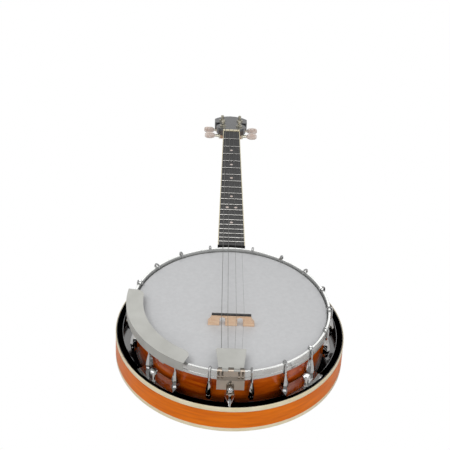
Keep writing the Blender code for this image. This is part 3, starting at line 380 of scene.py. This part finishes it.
def build_back():
    # The dome's height grows with the square of the way out from its flat middle.
    rise = BACK_HIGH[2] - BOTTOM_EDGING_HEIGHT
    bottom_edging = edging("bottom_edging", BACK_R, BACK_HIGH[2], rise)
    outer = BACK_R - CREAM_WIDTH - 0.00005
    profile = [(0.0, BACK_THICK), (BACK_FLAT, BACK_THICK)]
    for step in range(1, BACK_STEPS + 1):
        share = step / BACK_STEPS * BACK_INNER_SHARE
        radius = BACK_FLAT + (BACK_R - BACK_FLAT) * share
        profile.append((radius, BACK_THICK + rise * share * share))
    profile.append((BACK_R - BACK_RIM_WIDTH, rise + BACK_THICK))
    profile.append((outer, rise + BACK_THICK))
    for step in range(BACK_STEPS, 0, -1):
        share = step / BACK_STEPS
        radius = BACK_FLAT + (outer - BACK_FLAT) * share
        profile.append((radius, rise * share * share))
    profile += [(BACK_FLAT, 0.0), (0.0, 0.0)]
    back = turned_ring("back_wood", profile, ORANGE, closed=False)
    paint_inside(back, lambda face: face.normal.z > INSIDE_NORMAL)
    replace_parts(back, "resonator_back")
    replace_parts(bottom_edging, "resonator_back")


def assign(name, material, edge=0.0):
    node = NODES[name]
    node.data.materials.clear()
    node.data.materials.append(material)
    node.data.polygons.foreach_set("use_smooth", [True] * len(node.data.polygons))
    node.data.set_sharp_from_angle(angle=math.radians(38.0))
    if edge > 0.0:
        softened(node, edge)
    return node


def build_metal():
    for name in NODES:
        if name.startswith(("hook_", "thumbscrew")):
            assign(name, CHROME, 0.0003)
        if name.startswith(("tuner_housing", "tuner_post")):
            assign(name, WARM, 0.0003)
        if name.startswith("resonator_bracket"):
            assign(name, CHROME, 0.0002)
        if name.startswith("string_"):
            assign(name, STRING)
        if name.startswith("tuner_button"):
            assign(name, PEARL)
    assign("tail_hanger", CHROME, 0.0003)
    # The tailpiece base is chrome tinted brown, a painted reflection of the amber rim.
    assign("tailpiece_base", MIRROR_PAINTED_REFLECTION, 0.0002)
    assign("tailpiece_cover", SATIN, 0.0003)
    assign("armrest", SATIN, 0.0003)
    assign("coordinator_rod", STEEL, 0.0004)


def build_hanger_edge():
    # The flange's bright turned edge, drawn as a fine wire along its two sides.
    z = LIP_HIGH[2] + FLANGE_THICK
    back_y = -RIM_R - FLANGE_BACK
    points = [(-FLANGE_HALF, back_y, z), (0.0, HANGER_LOW[1] + TIP_INSET, z), (FLANGE_HALF, back_y, z)]
    curve = bpy.data.curves.new("hanger_edge", "CURVE")
    curve.dimensions = "3D"
    curve.bevel_depth = EDGE_WIRE
    curve.bevel_resolution = 3
    curve.use_fill_caps = True
    spline = curve.splines.new("POLY")
    spline.points.add(len(points) - 1)
    for point, place in zip(spline.points, points):
        point.co = (*place, 1.0)
    curve.materials.append(HOOP)
    edge = bpy.data.objects.new("hanger_edge", curve)
    bpy.context.scene.collection.objects.link(edge)
    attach(edge, ROOT)


# Neck
def board_end_height():
    board = NODES["fingerboard"]
    corners = [board.matrix_world @ vertex.co for vertex in board.data.vertices]
    return max(corner.z for corner in corners if corner.y < BOARD_LOW[1] + 0.0005)


BOARD_END_Z = board_end_height()


def board_half(y):
    length = BOARD_HIGH[1] - BOARD_LOW[1]
    nut_half = BOARD_HIGH[0] - BOARD_HALF_GROWTH * length
    return BOARD_HIGH[0] + (nut_half - BOARD_HIGH[0]) * (y - BOARD_LOW[1]) / length


def board_z(y):
    return BOARD_END_Z - NECK_SLOPE * (y - BOARD_LOW[1])


def fret_y(number):
    # Twelve equal steps an octave, from the bridge.
    return BRIDGE_Y + SCALE * 2.0 ** (-number / 12.0)


def build_board_edging(name, side):
    ends = []
    for y in (BOARD_LOW[1], BOARD_HIGH[1]):
        outer = side * board_half(y)
        inner = side * (board_half(y) - CREAM_WIDTH)
        low = board_z(y) - EDGING_DEPTH
        high = board_z(y) + EDGING_PROUD
        ends += [(outer, y, low), (inner, y, low), (inner, y, high), (outer, y, high)]
    box_piece(name, ends, CREAM, edge=0.0001)


def build_fret(number):
    y = fret_y(number)
    half = board_half(y) - CREAM_WIDTH
    low = board_z(y)
    high = low + FRET_HEIGHT
    corners = []
    for x in (-half, half):
        corners += [(x, y - FRET_FOOT, low), (x, y + FRET_FOOT, low)]
        corners += [(x, y + FRET_CROWN, high), (x, y - FRET_CROWN, high)]
    box_piece("fret_%02d" % number, corners, NICKEL, edge=0.0002)


def build_inlay(index, number, x):
    # A position dot halfway between a fret and the one before it.
    y = (fret_y(number) + fret_y(number - 1)) / 2
    place = Matrix.Translation((x, y, board_z(y) + INLAY_PROUD))
    tilt = Matrix.Rotation(-math.atan(NECK_SLOPE), 4, "X")
    bm = bmesh.new()
    bmesh.ops.create_circle(bm, cap_ends=True, segments=32, radius=INLAY_RADIUS, matrix=place @ tilt)
    finish_piece(bm, "inlay_%d" % index, PEARL)


def build_neck():
    assign("neck", BLACK, 0.0006)
    assign("headstock_face", FACE, 0.0004)
    assign("nut", CREAM, 0.0005)
    assign("bridge_base", MAPLE, 0.0004)
    assign("bridge_cap", BOARD, 0.0003)
    assign("fingerboard", BOARD)
    build_board_edging("board_edging_left", -1)
    build_board_edging("board_edging_right", 1)
    for number in range(1, FRET_COUNT + 1):
        if fret_y(number) >= BOARD_LOW[1] + FIRST_FRET_ROOM:
            build_fret(number)
    for index, (number, x) in enumerate(INLAYS, 1):
        build_inlay(index, number, x)


# Stage
CAMERA_PLACE = Vector((-0.036784, -1.144942, 0.904280 + HOOP_TOP))
CAMERA_RIGHT = Vector((0.999177, 0.007179, 0.039917))
CAMERA_UP = Vector((-0.037150, 0.556929, 0.829711))
CAMERA_FORWARD = Vector((0.016275, 0.830511, -0.556738))
LENS = 81.386
SENSOR = 36.0
FLOOR_HALF = 6.0
FLOOR_DROP = 0.0002
WORLD_LIGHT = 0.42


def build_camera():
    data = bpy.data.cameras.new("camera")
    data.lens = LENS
    data.sensor_width = SENSOR
    data.clip_start = 0.01
    camera = bpy.data.objects.new("camera", data)
    turn = Matrix((CAMERA_RIGHT, CAMERA_UP, -CAMERA_FORWARD)).transposed().to_4x4()
    camera.matrix_world = Matrix.Translation(CAMERA_PLACE) @ turn
    bpy.context.scene.collection.objects.link(camera)
    bpy.context.scene.camera = camera


def area_light(name, place, target, size, power):
    data = bpy.data.lights.new(name, "AREA")
    data.shape = "RECTANGLE"
    data.size = size[0]
    data.size_y = size[1]
    data.energy = power
    light = bpy.data.objects.new(name, data)
    aim = (Vector(target) - Vector(place)).to_track_quat("-Z", "Y").to_matrix().to_4x4()
    light.matrix_world = Matrix.Translation(place) @ aim
    bpy.context.scene.collection.objects.link(light)


def camera_mix(tree, lit, seen, output):
    # The camera sees one shader and every other ray meets the other.
    path = tree.nodes.new("ShaderNodeLightPath")
    mix = tree.nodes.new("ShaderNodeMixShader")
    link(tree, path.outputs["Is Camera Ray"], mix.inputs["Fac"])
    link(tree, lit, mix.inputs[1])
    link(tree, seen, mix.inputs[2])
    link(tree, mix.outputs["Shader"], tree.nodes[output].inputs["Surface"])


def floor_paint():
    # Plain white for the camera, a pale floor for everything that it lights.
    material = plain("White floor", (0.80, 0.80, 0.80), 0.8)
    tree = material.node_tree
    glow = tree.nodes.new("ShaderNodeEmission")
    glow.inputs["Strength"].default_value = 1.0
    surface = tree.nodes["Principled BSDF"].outputs["BSDF"]
    camera_mix(tree, surface, glow.outputs["Emission"], "Material Output")
    return material


def build_floor():
    bm = bmesh.new()
    bmesh.ops.create_grid(bm, x_segments=1, y_segments=1, size=FLOOR_HALF)
    mesh = bpy.data.meshes.new("floor")
    bm.to_mesh(mesh)
    bm.free()
    mesh.materials.append(floor_paint())
    floor = bpy.data.objects.new("floor", mesh)
    floor.location.z = -FLOOR_DROP
    bpy.context.scene.collection.objects.link(floor)


def build_lights():
    area_light("key", (-0.9, -0.2, 1.7), (0.0, 0.1, 0.1), (1.2, 1.2), 9.0)
    area_light("fill", (1.3, -0.6, 1.2), (0.0, 0.1, 0.1), (1.0, 1.4), 4.0)
    area_light("front", (0.1, -1.9, 0.7), (0.0, 0.0, 0.05), (1.6, 0.7), 7.0)
    area_light("back", (0.0, 1.9, 1.5), (0.0, 0.2, 0.1), (1.8, 0.8), 7.0)


def build_world():
    world = bpy.data.worlds.new("studio")
    bpy.context.scene.world = world
    world.use_nodes = True
    tree = world.node_tree
    sky = tree.nodes["Background"]
    sky.inputs["Color"].default_value = (1.0, 1.0, 1.0, 1.0)
    sky.inputs["Strength"].default_value = WORLD_LIGHT
    bright = tree.nodes.new("ShaderNodeBackground")
    bright.inputs["Strength"].default_value = 1.0
    camera_mix(tree, sky.outputs["Background"], bright.outputs["Background"], "World Output")


build_rim()
build_head()
build_tension_hoop()
build_lip()
build_side()
build_back()
build_metal()
build_hanger_edge()
build_neck()
build_floor()
build_lights()
build_world()
build_camera()
bpy.context.scene.view_settings.view_transform = "Standard"
